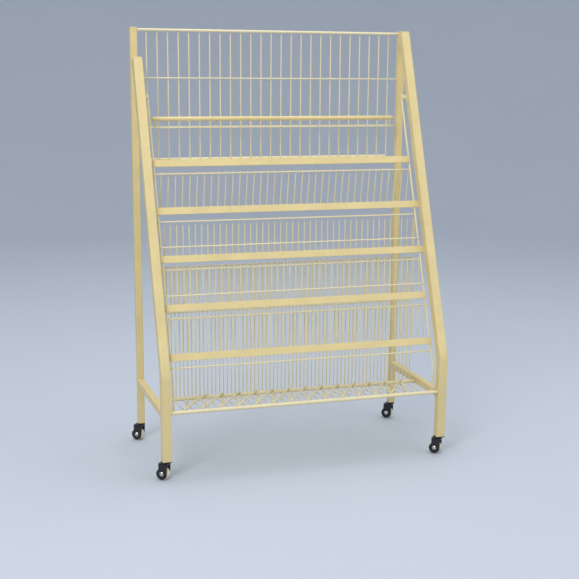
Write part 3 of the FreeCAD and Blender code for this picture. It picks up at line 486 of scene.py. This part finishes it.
def bead(piece, corners, radius, ripple, closed=False):
    """A weld bead along straight runs, with the ripples of the torch.

    Every second section is a little thinner, and the ends of an open bead are small.
    """
    thin, tip = 0.84, 0.35
    aside = Vector((0.31, 0.57, 0.76))      # a direction that no bead takes
    ends = corners + corners[:1] if closed else corners
    points = []
    for a, b in zip(ends[:-1], ends[1:]):
        steps = max(2, round((b - a).length / (ripple / 2)))
        points += [a.lerp(b, i / steps) for i in range(steps)]
    points.append(ends[-1])
    count = len(points) - 1
    bm = bmesh.new()
    last = None
    for i, point in enumerate(points):
        ahead = points[(i + 1) % count] if closed else points[min(i + 1, count)]
        behind = points[(i - 1) % count] if closed else points[max(i - 1, 0)]
        taper = 1.0 if closed or 0 < i < count else tip
        swell = taper * (1.0 if i % 2 else thin)
        place = oriented(point, ahead - behind, aside)
        place = place @ Matrix.Scale(swell * radius, 4)
        if last is None:
            made = bmesh.ops.create_circle(bm, segments=8, radius=1.0, matrix=place)
            edges = first_edges = edges_at(made["verts"])
        else:
            made = bmesh.ops.extrude_edge_only(bm, edges=edges)["geom"]
            verts = [g for g in made if isinstance(g, bmesh.types.BMVert)]
            edges = [g for g in made if isinstance(g, bmesh.types.BMEdge)
                     and g.verts[0] in verts and g.verts[1] in verts]
            bmesh.ops.transform(bm, matrix=place @ last.inverted(), verts=verts)
        last = place
    if not closed:
        bmesh.ops.holes_fill(bm, edges=first_edges + edges, sides=8)
    add_part(piece, bm)


# Settings

class RackFinishSettings(bpy.types.PropertyGroup):
    """Colours and paint of the rack."""

    tube_colour: bpy.props.FloatVectorProperty(
        name="Tube paint", description="Powder coat of the tubes and flat bars", subtype="COLOR",
        min=0.0, max=1.0, default=linear("#DFCA90"))
    wire_colour: bpy.props.FloatVectorProperty(
        name="Wire paint", description="Powder coat of the rods and wires", subtype="COLOR",
        min=0.0, max=1.0, default=linear("#E6D9AF"))
    cap_colour: bpy.props.FloatVectorProperty(
        name="Caps", description="Polyethylene of the tube end caps", subtype="COLOR",
        min=0.0, max=1.0, default=linear("#D7C691"))
    orange_peel: bpy.props.FloatProperty(
        name="Orange peel (mm)", description="Size of the lumps in the powder coat",
        min=0.2, max=10.0, default=2.2)
    edge_wear: bpy.props.FloatProperty(
        name="Edge wear", description="How far the paint has thinned along the edges",
        subtype="FACTOR", min=0.0, max=1.0, default=0.7)


class RackWeldSettings(bpy.types.PropertyGroup):
    """Sizes of the welds."""

    bead_radius: bpy.props.FloatProperty(
        name="Bead radius", description="Half the width of the beads on the tubes", unit="LENGTH",
        min=0.0005, max=0.005, default=1.9 * MM)
    ripple: bpy.props.FloatProperty(
        name="Ripple", description="Spacing of the ripples along a bead", unit="LENGTH",
        min=0.001, max=0.01, default=3.0 * MM)
    nugget: bpy.props.FloatProperty(
        name="Wire weld size", description="Width of a wire weld as a share of the thinner wire",
        subtype="FACTOR", min=0.3, max=1.5, default=0.95)
    reach: bpy.props.FloatProperty(
        name="Weld reach", description="Rods nearer than this to each other are welded",
        unit="LENGTH", min=0.0, max=0.002, default=0.12 * MM)


class RackCastorSettings(bpy.types.PropertyGroup):
    """Colours and detail of the castors."""

    fork_colour: bpy.props.FloatVectorProperty(
        name="Fork lacquer", description="Stoved lacquer of the castor forks", subtype="COLOR",
        min=0.0, max=1.0, default=linear("#17171A"))
    socket_colour: bpy.props.FloatVectorProperty(
        name="Socket", description="Plastic of the sockets in the tube feet", subtype="COLOR",
        min=0.0, max=1.0, default=linear("#1B1B1D"))
    wheel_colour: bpy.props.FloatVectorProperty(
        name="Wheel", description="Nylon of the wheels", subtype="COLOR",
        min=0.0, max=1.0, default=linear("#E6DDBD"))
    edge_round: bpy.props.FloatProperty(
        name="Fork edge (mm)", description="Rounding of the pressed edges of the forks",
        min=0.1, max=1.0, default=0.5)
    spokes: bpy.props.IntProperty(
        name="Wheel ribs", description="Ribs in each dished side of a wheel",
        min=3, max=12, default=6)


class RackStageSettings(bpy.types.PropertyGroup):
    """Floor, light and camera."""

    floor_colour: bpy.props.FloatVectorProperty(
        name="Floor", description="Colour of the studio floor", subtype="COLOR",
        min=0.0, max=1.0, default=linear("#BDC4CE"))
    floor_radius: bpy.props.FloatProperty(
        name="Floor radius", description="Flat part of the floor", unit="LENGTH",
        min=4.0, max=20.0, default=5.0)
    cove_radius: bpy.props.FloatProperty(
        name="Cove radius", description="Curve between the floor and the wall", unit="LENGTH",
        min=0.5, max=10.0, default=4.0)
    wall_height: bpy.props.FloatProperty(
        name="Wall height", description="Top of the wall round the floor", unit="LENGTH",
        min=4.0, max=20.0, default=6.0)
    surround: bpy.props.FloatProperty(
        name="Surround", description="Brightness of the pale surround",
        min=0.0, max=3.0, default=0.85)
    lens: bpy.props.FloatProperty(
        name="Lens (mm)", description="Focal length on a 36 mm wide sensor", min=20.0, max=200.0,
        default=72.78)


class RackSettings(bpy.types.PropertyGroup):
    """All settings of the display rack."""

    finish: bpy.props.PointerProperty(type=RackFinishSettings)
    welds: bpy.props.PointerProperty(type=RackWeldSettings)
    castors: bpy.props.PointerProperty(type=RackCastorSettings)
    stage: bpy.props.PointerProperty(type=RackStageSettings)


# Operators

class RACK_OT_paint_frame(bpy.types.Operator):
    """Powder coat the tubes, the spacer and the flat bars"""

    bl_idname = "display_rack.paint_frame"
    bl_label = "Paint the frame"

    def execute(self, context):
        paint_nodes(TUBES + FLAT_BARS + ("tier_1_bar",), tube_paint())
        return {"FINISHED"}


class RACK_OT_paint_wires(bpy.types.Operator):
    """Powder coat the rods and wires"""

    bl_idname = "display_rack.paint_wires"
    bl_label = "Paint the wires"

    def execute(self, context):
        wires = [name for name in STRAIGHT_RODS + SIDE_RODS if name != "tier_1_bar"]
        paint_nodes(wires, wire_paint())
        return {"FINISHED"}


class RACK_OT_finish_caps(bpy.types.Operator):
    """Give the caps in the tube ends their moulded plastic"""

    bl_idname = "display_rack.finish_caps"
    bl_label = "Finish the tube caps"

    def execute(self, context):
        colour = tuple(context.scene.display_rack.finish.cap_colour)
        paint_nodes(["tube_end_caps"], material_once(moulded_polyethylene, colour))
        return {"FINISHED"}


class RACK_OT_weld_frame(bpy.types.Operator):
    """Lay the rippled beads that join the tubes, the spacer, the tabs and the rails"""

    bl_idname = "display_rack.weld_frame"
    bl_label = "Weld the frame"

    SEAT = 0.3 * MM             # middle of a bead inside the end that it joins
    SEAM_INSET = 0.6 * MM       # seam bead inside the sides of the upright
    SEAM_TOP = 1.5 * MM         # its upper ends below the top of the upright
    SEAM_FOOT = 6.5 * MM        # its lower run below the top of the upright
    TAB_DROP = 8.1 * MM         # middle of a tab below the top of its side rod
    TAB_HALF_WIDTH = 6.0 * MM
    TAB_LIFT = 1.2 * MM         # tab bead ahead of the line of the flat bars
    TAB_BEAD_ENDS = (1.5 * MM, 12.0 * MM)   # inwards from the middle of the tube

    def execute(self, context):
        welds = context.scene.display_rack.welds
        radius, ripple = welds.bead_radius, welds.ripple
        bm = bmesh.new()
        for side in ("left", "right"):
            low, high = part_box(side + "_side_rail")
            for y in (low.y + self.SEAT, high.y - self.SEAT):
                self.loop(bm, low, high, (y, y), radius, ripple)
        low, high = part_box("left_tube_spacer")
        back, slope_drop = high.y - self.SEAT, (high.z - low.z) * self.slope()
        self.loop(bm, low, high, (back, back), radius * 0.9, ripple)
        self.loop(bm, low, high, (low.y, low.y + slope_drop), radius * 0.9, ripple)
        self.seam(bm, radius * 0.9, ripple)
        self.tabs(bm, radius * 0.8, ripple)
        self.rod_ends(bm)
        finish_piece(bm, "frame_weld_beads", tube_paint(), "rack",
                     smooth_angle=60.0)
        return {"FINISHED"}

    @staticmethod
    def slope():
        """Run over rise of the sloping tubes, from the flat bars that lie on them."""
        upper, lower = bar_line("tier_2_bar")[0], bar_line("tier_6_bar")[0]
        return (upper[1] - lower[1]) / (upper[2] - lower[2])

    @staticmethod
    def loop(bm, low, high, end_y, radius, ripple):
        """A bead round the end of a square tube, straight across its round corners.

        `end_y` is where the end lies at its foot and at its top.
        """
        cut = TUBE_CORNER
        step = (end_y[1] - end_y[0]) / (high.z - low.z) * cut
        foot = [(low.x + cut, end_y[0], low.z), (high.x - cut, end_y[0], low.z)]
        right = [(high.x, end_y[0] + step, low.z + cut), (high.x, end_y[1] - step, high.z - cut)]
        top = [(high.x - cut, end_y[1], high.z), (low.x + cut, end_y[1], high.z)]
        left = [(low.x, end_y[1] - step, high.z - cut), (low.x, end_y[0] + step, low.z + cut)]
        bead(bm, [Vector(corner) for corner in foot + right + top + left], radius, ripple,
             closed=True)

    def seam(self, bm, radius, ripple):
        """The bead under and beside the top of the right front tube, on the upright."""
        low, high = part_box("right_rear_upright")
        left, right = low.x + self.SEAM_INSET, high.x - self.SEAM_INSET
        top, foot = high.z - self.SEAM_TOP, high.z - self.SEAM_FOOT
        path = [(left, low.y, top), (left, low.y, foot), (right, low.y, foot), (right, low.y, top)]
        bead(bm, [Vector(corner) for corner in path], radius, ripple)

    def tabs(self, bm, radius, ripple):
        """Short beads along both edges of the tabs behind the front tubes."""
        origin = Vector(bar_line("tier_2_bar")[0])
        up_slope = Vector((0.0, self.slope(), 1.0)).normalized()
        forward = Vector((0.0, -up_slope.z, up_slope.y))
        for side, inward in (("left", 1), ("right", -1)):
            low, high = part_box(side + "_rear_upright")
            tube_middle = (low.x + high.x) / 2
            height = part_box(side + "_side_rod")[1].z - self.TAB_DROP
            centre = origin + up_slope * ((height - origin.z) / up_slope.z)
            for edge in (-self.TAB_HALF_WIDTH, self.TAB_HALF_WIDTH):
                middle = centre + up_slope * edge + forward * self.TAB_LIFT
                ends = [Vector((tube_middle + inward * end, middle.y, middle.z))
                        for end in self.TAB_BEAD_ENDS]
                bead(bm, ends, radius, ripple)

    def rod_ends(self, bm):
        """Round beads where rods along X meet the inner faces of the tubes."""
        faces = [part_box(side + tube)[index].x for side, index in (("left", 1), ("right", 0))
                 for tube in ("_rear_upright", "_front_tube")]
        for node in ("base_front_rail", "base_rear_rail", "top_rail", "top_back_panel"):
            for start, end, radius in straight_rods(node):
                if abs(start[2] - end[2]) >= MM:
                    continue
                thickness = max(0.8 * MM, radius * 0.34)
                for point, away in ((start, end), (end, start)):
                    if min(abs(point[0] - x) for x in faces) < TOUCH:
                        axis = Vector(point - away).normalized()
                        centre = Vector(point) - axis * self.SEAT
                        ring(bm, centre, axis, radius + self.SEAT, thickness)


class RACK_OT_weld_wires(bpy.types.Operator):
    """Put a fused nugget where two rods are welded, and a collar where a rung ends on a rod"""

    bl_idname = "display_rack.weld_wires"
    bl_label = "Weld the wires"

    NUGGET_HEIGHT = 0.42            # half its height as a share of the thinner rod's radius
    COLLAR_WIDTH = 0.55 * MM        # how far a collar stands out round the rung
    COLLAR_HALF_LENGTH = 1.0 * MM

    def execute(self, context):
        welds = context.scene.display_rack.welds
        found = [(node, rod) for node in STRAIGHT_RODS for rod in straight_rods(node)]
        found += [(node, rod) for node in SIDE_RODS for rod in side_rod_lines(node)]
        found += [(node, bar_line(node)) for node in FLAT_BARS]
        owners, rods = zip(*found)
        round_weld = ball(around=8, rows=5)
        groups = {name: bmesh.new() for name in ("back_panel_welds", "tier_welds", "shelf_welds")}
        first, second, near, far, s, t = closest_points(rods)
        radii = np.array([rod[2] for rod in rods])
        gap = far - near
        apart = np.linalg.norm(gap, axis=1)
        crossing = np.abs(apart - radii[first] - radii[second]) < welds.reach
        ends_first = (np.minimum(s, 1 - s) < 1e-6) & (np.abs(apart - radii[second]) < welds.reach)
        ends_second = (np.minimum(t, 1 - t) < 1e-6) & (np.abs(apart - radii[first]) < welds.reach)
        for i in np.nonzero(crossing | ends_first | ends_second)[0]:
            a, b = first[i], second[i]
            names = (owners[a], owners[b])
            if any(name in SHELF for name in names):
                bm = groups["shelf_welds"]
            elif any(name.endswith("back_panel") for name in names):
                bm = groups["back_panel_welds"]
            else:
                bm = groups["tier_welds"]
            normal = gap[i] / apart[i]
            if crossing[i]:
                thin = min(radii[a], radii[b])
                point = near[i] + normal * radii[a]
                wide = welds.nugget * thin
                place = oriented(point, normal, rods[a][1] - rods[a][0])
                size = (wide, wide, self.NUGGET_HEIGHT * thin)
            else:
                rung = a if ends_first[i] else b
                point = near[i] if ends_first[i] else far[i]
                axis = rods[rung][1] - rods[rung][0]
                place = oriented(point, axis, Vector(axis).orthogonal())
                wide = radii[rung] + self.COLLAR_WIDTH
                size = (wide, wide, self.COLLAR_HALF_LENGTH)
            add_copy(bm, round_weld, place @ Matrix.Diagonal((*size, 1.0)))
        for name, bm in groups.items():
            finish_piece(bm, name, wire_paint(), "rack", smooth_angle=80.0)
        return {"FINISHED"}


class RACK_OT_round_wire_ends(bpy.types.Operator):
    """Dome the free ends of the rods, where the powder coat rounds off the cut"""

    bl_idname = "display_rack.round_wire_ends"
    bl_label = "Round the wire ends"

    # Shares of the rod's radius. The dome is a little narrower, so that the two skins don't meet.
    DOME_RADIUS, DOME_HEIGHT = 0.985, 0.4

    def execute(self, context):
        bm = bmesh.new()
        dome = ball(around=10, rows=4)
        nodes = BACKRESTS + LEDGES + ("top_back_panel", "lower_back_panel", "tie_rods",
                                      "guard_wires", "ledge_stays", "base_shelf_diagonals")
        tube_faces = (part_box("left_rear_upright")[1].x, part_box("right_rear_upright")[0].x)
        for node in nodes:
            for start, end, radius in straight_rods(node):
                is_rung = node in LEDGES and abs(start[0] - end[0]) < MM
                on_tube = min(abs(start[0] - x) for x in tube_faces) < TOUCH
                if is_rung or on_tube:
                    continue
                axis = Vector(end - start)
                wide, tall = self.DOME_RADIUS * radius, self.DOME_HEIGHT * radius
                size = Matrix.Diagonal((wide, wide, tall, 1.0))
                for point in (start, end):
                    add_copy(bm, dome, oriented(point, axis, axis.orthogonal()) @ size)
        finish_piece(bm, "wire_end_domes", wire_paint(), "rack", smooth_angle=80.0)
        return {"FINISHED"}


class RACK_OT_make_fixings(bpy.types.Operator):
    """Round the edges of the flanged screws, and plate them and the rivet nuts"""

    bl_idname = "display_rack.make_fixings"
    bl_label = "Make the bar fixings"

    def execute(self, context):
        zinc = material_once(zinc_plate, linear(ZINC_COLOUR))
        bm = softened_copy("bar_fixing_screws", width_mm=0.35)
        screws = finish_piece(bm, "bar_screws", zinc, "rack", smooth_angle=35.0)
        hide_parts("bar_fixing_screws")
        paint_nodes(["bar_rivet_nuts"], zinc)
        return {"FINISHED"}


class RACK_OT_make_castor_forks(bpy.types.Operator):
    """Round the pressed edges of the forks and add the bearing cups above them"""

    bl_idname = "display_rack.make_castor_forks"
    bl_label = "Make the castor forks"

    CUPS_MM = ((3.0, 10.1), (0.9, 9.7))     # depth below the top of the boss, and radius
    CUP_THICKNESS = 0.7 * MM

    def execute(self, context):
        castors = context.scene.display_rack.castors
        lacquer = material_once(black_lacquer_on_steel, tuple(castors.fork_colour))
        for corner in CORNERS:
            node = corner + "_castor_fork"
            bm = softened_copy(node, castors.edge_round)
            low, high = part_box(corner + "_castor_stem")
            boss_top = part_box(node)[1].z
            for drop, radius in self.CUPS_MM:
                centre = Vector(((low.x + high.x) / 2, (low.y + high.y) / 2, boss_top - drop * MM))
                ring(bm, centre, Vector((0, 0, 1)), radius * MM, self.CUP_THICKNESS, around=40)
            fork = finish_piece(bm, corner + "_pressed_fork", lacquer, corner + "_castor_swivel",
                                smooth_angle=35.0)
            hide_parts(node)
        return {"FINISHED"}


class RACK_OT_make_castor_wheels(bpy.types.Operator):
    """Turn the nylon wheels with dished, ribbed sides and a grooved tread"""

    bl_idname = "display_rack.make_castor_wheels"
    bl_label = "Make the castor wheels"

    # From the bore out to the middle of the tread: radius and distance from the mid plane.
    HALF_SECTION_MM = ((3.05, 9.4), (3.4, 9.7), (6.6, 9.7), (7.0, 9.3), (7.2, 6.2), (7.6, 5.9),
                       (15.0, 5.9), (15.4, 6.2), (15.8, 8.6), (16.2, 9.0), (18.0, 9.0),
                       (18.9, 8.7), (19.6, 8.0), (20.0, 7.0), (20.0, 3.6), (19.6, 3.3),
                       (19.6, 2.7), (20.0, 2.4))
    RIB_PLACE_MM = (11.3, 7.0)          # its middle: radius and distance from the mid plane
    RIB_SIZE_MM = (8.8, 1.5, 2.6)       # along the radius, round the axle and along it
    RIB_EDGE = 0.3 * MM

    def execute(self, context):
        castors = context.scene.display_rack.castors
        nylon = material_once(cast_nylon, tuple(castors.wheel_colour))
        for corner in CORNERS:
            node = corner + "_castor_wheel"
            low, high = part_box(node)
            place = oriented((low + high) / 2, WHEEL_AXIS, Vector((0, 0, 1)))
            wheel = finish_piece(self.wheel(castors.spokes, place), corner + "_nylon_wheel", nylon,
                                 corner + "_castor_wheel_body", smooth_angle=35.0)
            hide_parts(node)
        return {"FINISHED"}

    def wheel(self, spokes, place):
        """A wheel about the Z axis of `place`."""
        bm = bmesh.new()
        mirrored = [(r, -x) for r, x in reversed(self.HALF_SECTION_MM)]
        verts = [bm.verts.new((r * MM, 0.0, x * MM)) for r, x in (*self.HALF_SECTION_MM, *mirrored)]
        edges = [bm.edges.new(pair) for pair in zip(verts, verts[1:] + verts[:1])]
        bmesh.ops.spin(bm, geom=verts + edges, cent=(0, 0, 0), axis=(0, 0, 1), angle=math.tau,
                       steps=56, use_merge=True)
        bmesh.ops.remove_doubles(bm, verts=bm.verts, dist=1e-6)
        bmesh.ops.recalc_face_normals(bm, faces=bm.faces)
        radius, depth = (value * MM for value in self.RIB_PLACE_MM)
        size = Matrix.Diagonal((*(value * MM for value in self.RIB_SIZE_MM), 1.0))
        for side in (-1, 1):
            shift = Matrix.Translation((radius, 0.0, side * depth))
            for index in range(spokes):
                turn = Matrix.Rotation(math.tau * index / spokes, 4, "Z")
                rib = bmesh.ops.create_cube(bm, size=1.0, matrix=turn @ shift @ size)
                round_over(bm, edges_at(rib["verts"]), self.RIB_EDGE)
        bmesh.ops.transform(bm, matrix=place, verts=bm.verts)
        return bm


class RACK_OT_finish_castor_fittings(bpy.types.Operator):
    """Plate the axles and stems, and give the sockets their plastic"""

    bl_idname = "display_rack.finish_castor_fittings"
    bl_label = "Finish the castor fittings"

    def execute(self, context):
        socket_colour = tuple(context.scene.display_rack.castors.socket_colour)
        for part, material in (("axle", material_once(nickel_plate, linear(NICKEL_COLOUR))),
                               ("stem", material_once(zinc_plate, linear(ZINC_COLOUR))),
                               ("socket", material_once(moulded_polypropylene, socket_colour))):
            paint_nodes(["%s_castor_%s" % (corner, part) for corner in CORNERS], material)
        return {"FINISHED"}


class RACK_OT_build_stage(bpy.types.Operator):
    """Set up a plain pale floor, soft studio light and the camera"""

    bl_idname = "display_rack.build_stage"
    bl_label = "Build the stage"

    # Name, place, power in watts and width of the square lights, which all point at LIT_POINT.
    LIGHTS = (("key_light", (-2.6, -3.4, 3.6), 118.0, 2.0),
              ("fill_light", (3.4, -2.6, 2.2), 36.0, 2.8),
              ("top_light", (0.2, 0.6, 4.2), 60.0, 3.0))
    LIT_POINT = Vector((0.0, 0.0, 0.6))
    CAMERA_PLACE = Vector((-1.1174, -3.5262, 1.2229))
    CAMERA_TURN = (-17.78, 12.94, 0.47)     # azimuth, angle below level and roll, in degrees
    CAMERA_SHIFT = 0.0803                   # upright shift of the sensor, as a share of its width

    def execute(self, context):
        stage = context.scene.display_rack.stage
        mesh = self.cove(stage.floor_radius, stage.cove_radius, stage.wall_height)
        mesh.materials.append(material_once(matt_vinyl_floor, tuple(stage.floor_colour)))
        floor = bpy.data.objects.new("studio_floor", mesh)
        context.scene.collection.objects.link(floor)
        world = bpy.data.worlds.new("studio_surround")
        world.use_nodes = True
        background = world.node_tree.nodes["Background"]
        background.inputs["Color"].default_value = shade(linear("#E9EDF2"), 1.0)
        background.inputs["Strength"].default_value = stage.surround
        context.scene.world = world
        for name, place, power, width in self.LIGHTS:
            light = bpy.data.lights.new(name, "AREA")
            light.energy = power
            light.size = width
            lamp = bpy.data.objects.new(name, light)
            lamp.location = place
            aim = self.LIT_POINT - Vector(place)
            lamp.rotation_euler = aim.to_track_quat("-Z", "Y").to_euler()
            context.scene.collection.objects.link(lamp)
        context.scene.view_settings.view_transform = "Standard"
        self.camera(context, stage.lens)
        return {"FINISHED"}

    @staticmethod
    def cove(floor_radius, cove_radius, wall_height):
        """A round floor that curves up into a wall, so that no horizon shows."""
        bm = bmesh.new()
        steps = 16
        path = [Vector((0.0, 0.0, 0.0)), Vector((floor_radius, 0.0, 0.0))]
        for step in range(1, steps + 1):
            turn = math.pi / 2 * step / steps
            path.append(Vector((floor_radius + cove_radius * math.sin(turn), 0.0,
                                cove_radius * (1.0 - math.cos(turn)))))
        path.append(Vector((floor_radius + cove_radius, 0.0, wall_height)))
        verts = [bm.verts.new(point) for point in path]
        edges = [bm.edges.new(pair) for pair in zip(verts[:-1], verts[1:])]
        bmesh.ops.spin(bm, geom=verts + edges, cent=(0, 0, 0), axis=(0, 0, 1), angle=math.tau,
                       steps=96, use_merge=True)
        bmesh.ops.remove_doubles(bm, verts=bm.verts, dist=1e-5)
        bmesh.ops.recalc_face_normals(bm, faces=bm.faces)
        if sum(face.normal.z * face.calc_area() for face in bm.faces) < 0:
            bmesh.ops.reverse_faces(bm, faces=bm.faces)
        mesh = bpy.data.meshes.new("studio_floor")
        bm.to_mesh(mesh)
        bm.free()
        for face in mesh.polygons:
            face.use_smooth = True
        return mesh

    def camera(self, context, lens):
        """A camera in front of the rack and to its left, near the height of its top."""
        azimuth, drop, roll = (math.radians(angle) for angle in self.CAMERA_TURN)
        forward = Vector((-math.sin(azimuth) * math.cos(drop), math.cos(azimuth) * math.cos(drop),
                          -math.sin(drop)))
        right = Vector((math.cos(azimuth), math.sin(azimuth), 0.0))
        up = right.cross(forward)
        turned_right = right * math.cos(roll) + up * math.sin(roll)
        turned_up = up * math.cos(roll) - right * math.sin(roll)
        data = bpy.data.cameras.new("studio_camera")
        data.lens = lens
        data.sensor_width = 36.0
        data.shift_y = self.CAMERA_SHIFT
        data.clip_start = 0.05
        data.clip_end = 200.0
        camera = bpy.data.objects.new("studio_camera", data)
        turn = Matrix((turned_right, turned_up, -forward)).transposed().to_4x4()
        camera.matrix_world = Matrix.Translation(self.CAMERA_PLACE) @ turn
        context.scene.collection.objects.link(camera)
        context.scene.camera = camera


OPERATORS = (RACK_OT_paint_frame, RACK_OT_paint_wires, RACK_OT_finish_caps, RACK_OT_weld_frame,
             RACK_OT_weld_wires, RACK_OT_round_wire_ends, RACK_OT_make_fixings,
             RACK_OT_make_castor_forks, RACK_OT_make_castor_wheels, RACK_OT_finish_castor_fittings,
             RACK_OT_build_stage)


class RACK_PT_sidebar(bpy.types.Panel):
    """Settings and steps of the display rack"""

    bl_idname = "RACK_PT_sidebar"
    bl_label = "Display rack"
    bl_space_type = "VIEW_3D"
    bl_region_type = "UI"
    bl_category = "Rack"

    def draw(self, context):
        settings = context.scene.display_rack
        for group in (settings.finish, settings.welds, settings.castors, settings.stage):
            box = self.layout.box()
            for name in group.__annotations__:
                box.prop(group, name)
        for operator in OPERATORS:
            self.layout.operator(operator.bl_idname)


CLASSES = (RackFinishSettings, RackWeldSettings, RackCastorSettings, RackStageSettings,
           RackSettings, *OPERATORS, RACK_PT_sidebar)


def register():
    """Register the classes and attach the settings to the scene."""
    for made in CLASSES:
        bpy.utils.register_class(made)
    bpy.types.Scene.display_rack = bpy.props.PointerProperty(type=RackSettings)


def unregister():
    """Take the settings and the classes away again."""
    del bpy.types.Scene.display_rack
    for made in reversed(CLASSES):
        bpy.utils.unregister_class(made)


def main():
    """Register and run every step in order."""
    register()
    for operator in OPERATORS:
        group, name = operator.bl_idname.split(".")
        getattr(getattr(bpy.ops, group), name)()


if __name__ == "__main__":
    main()
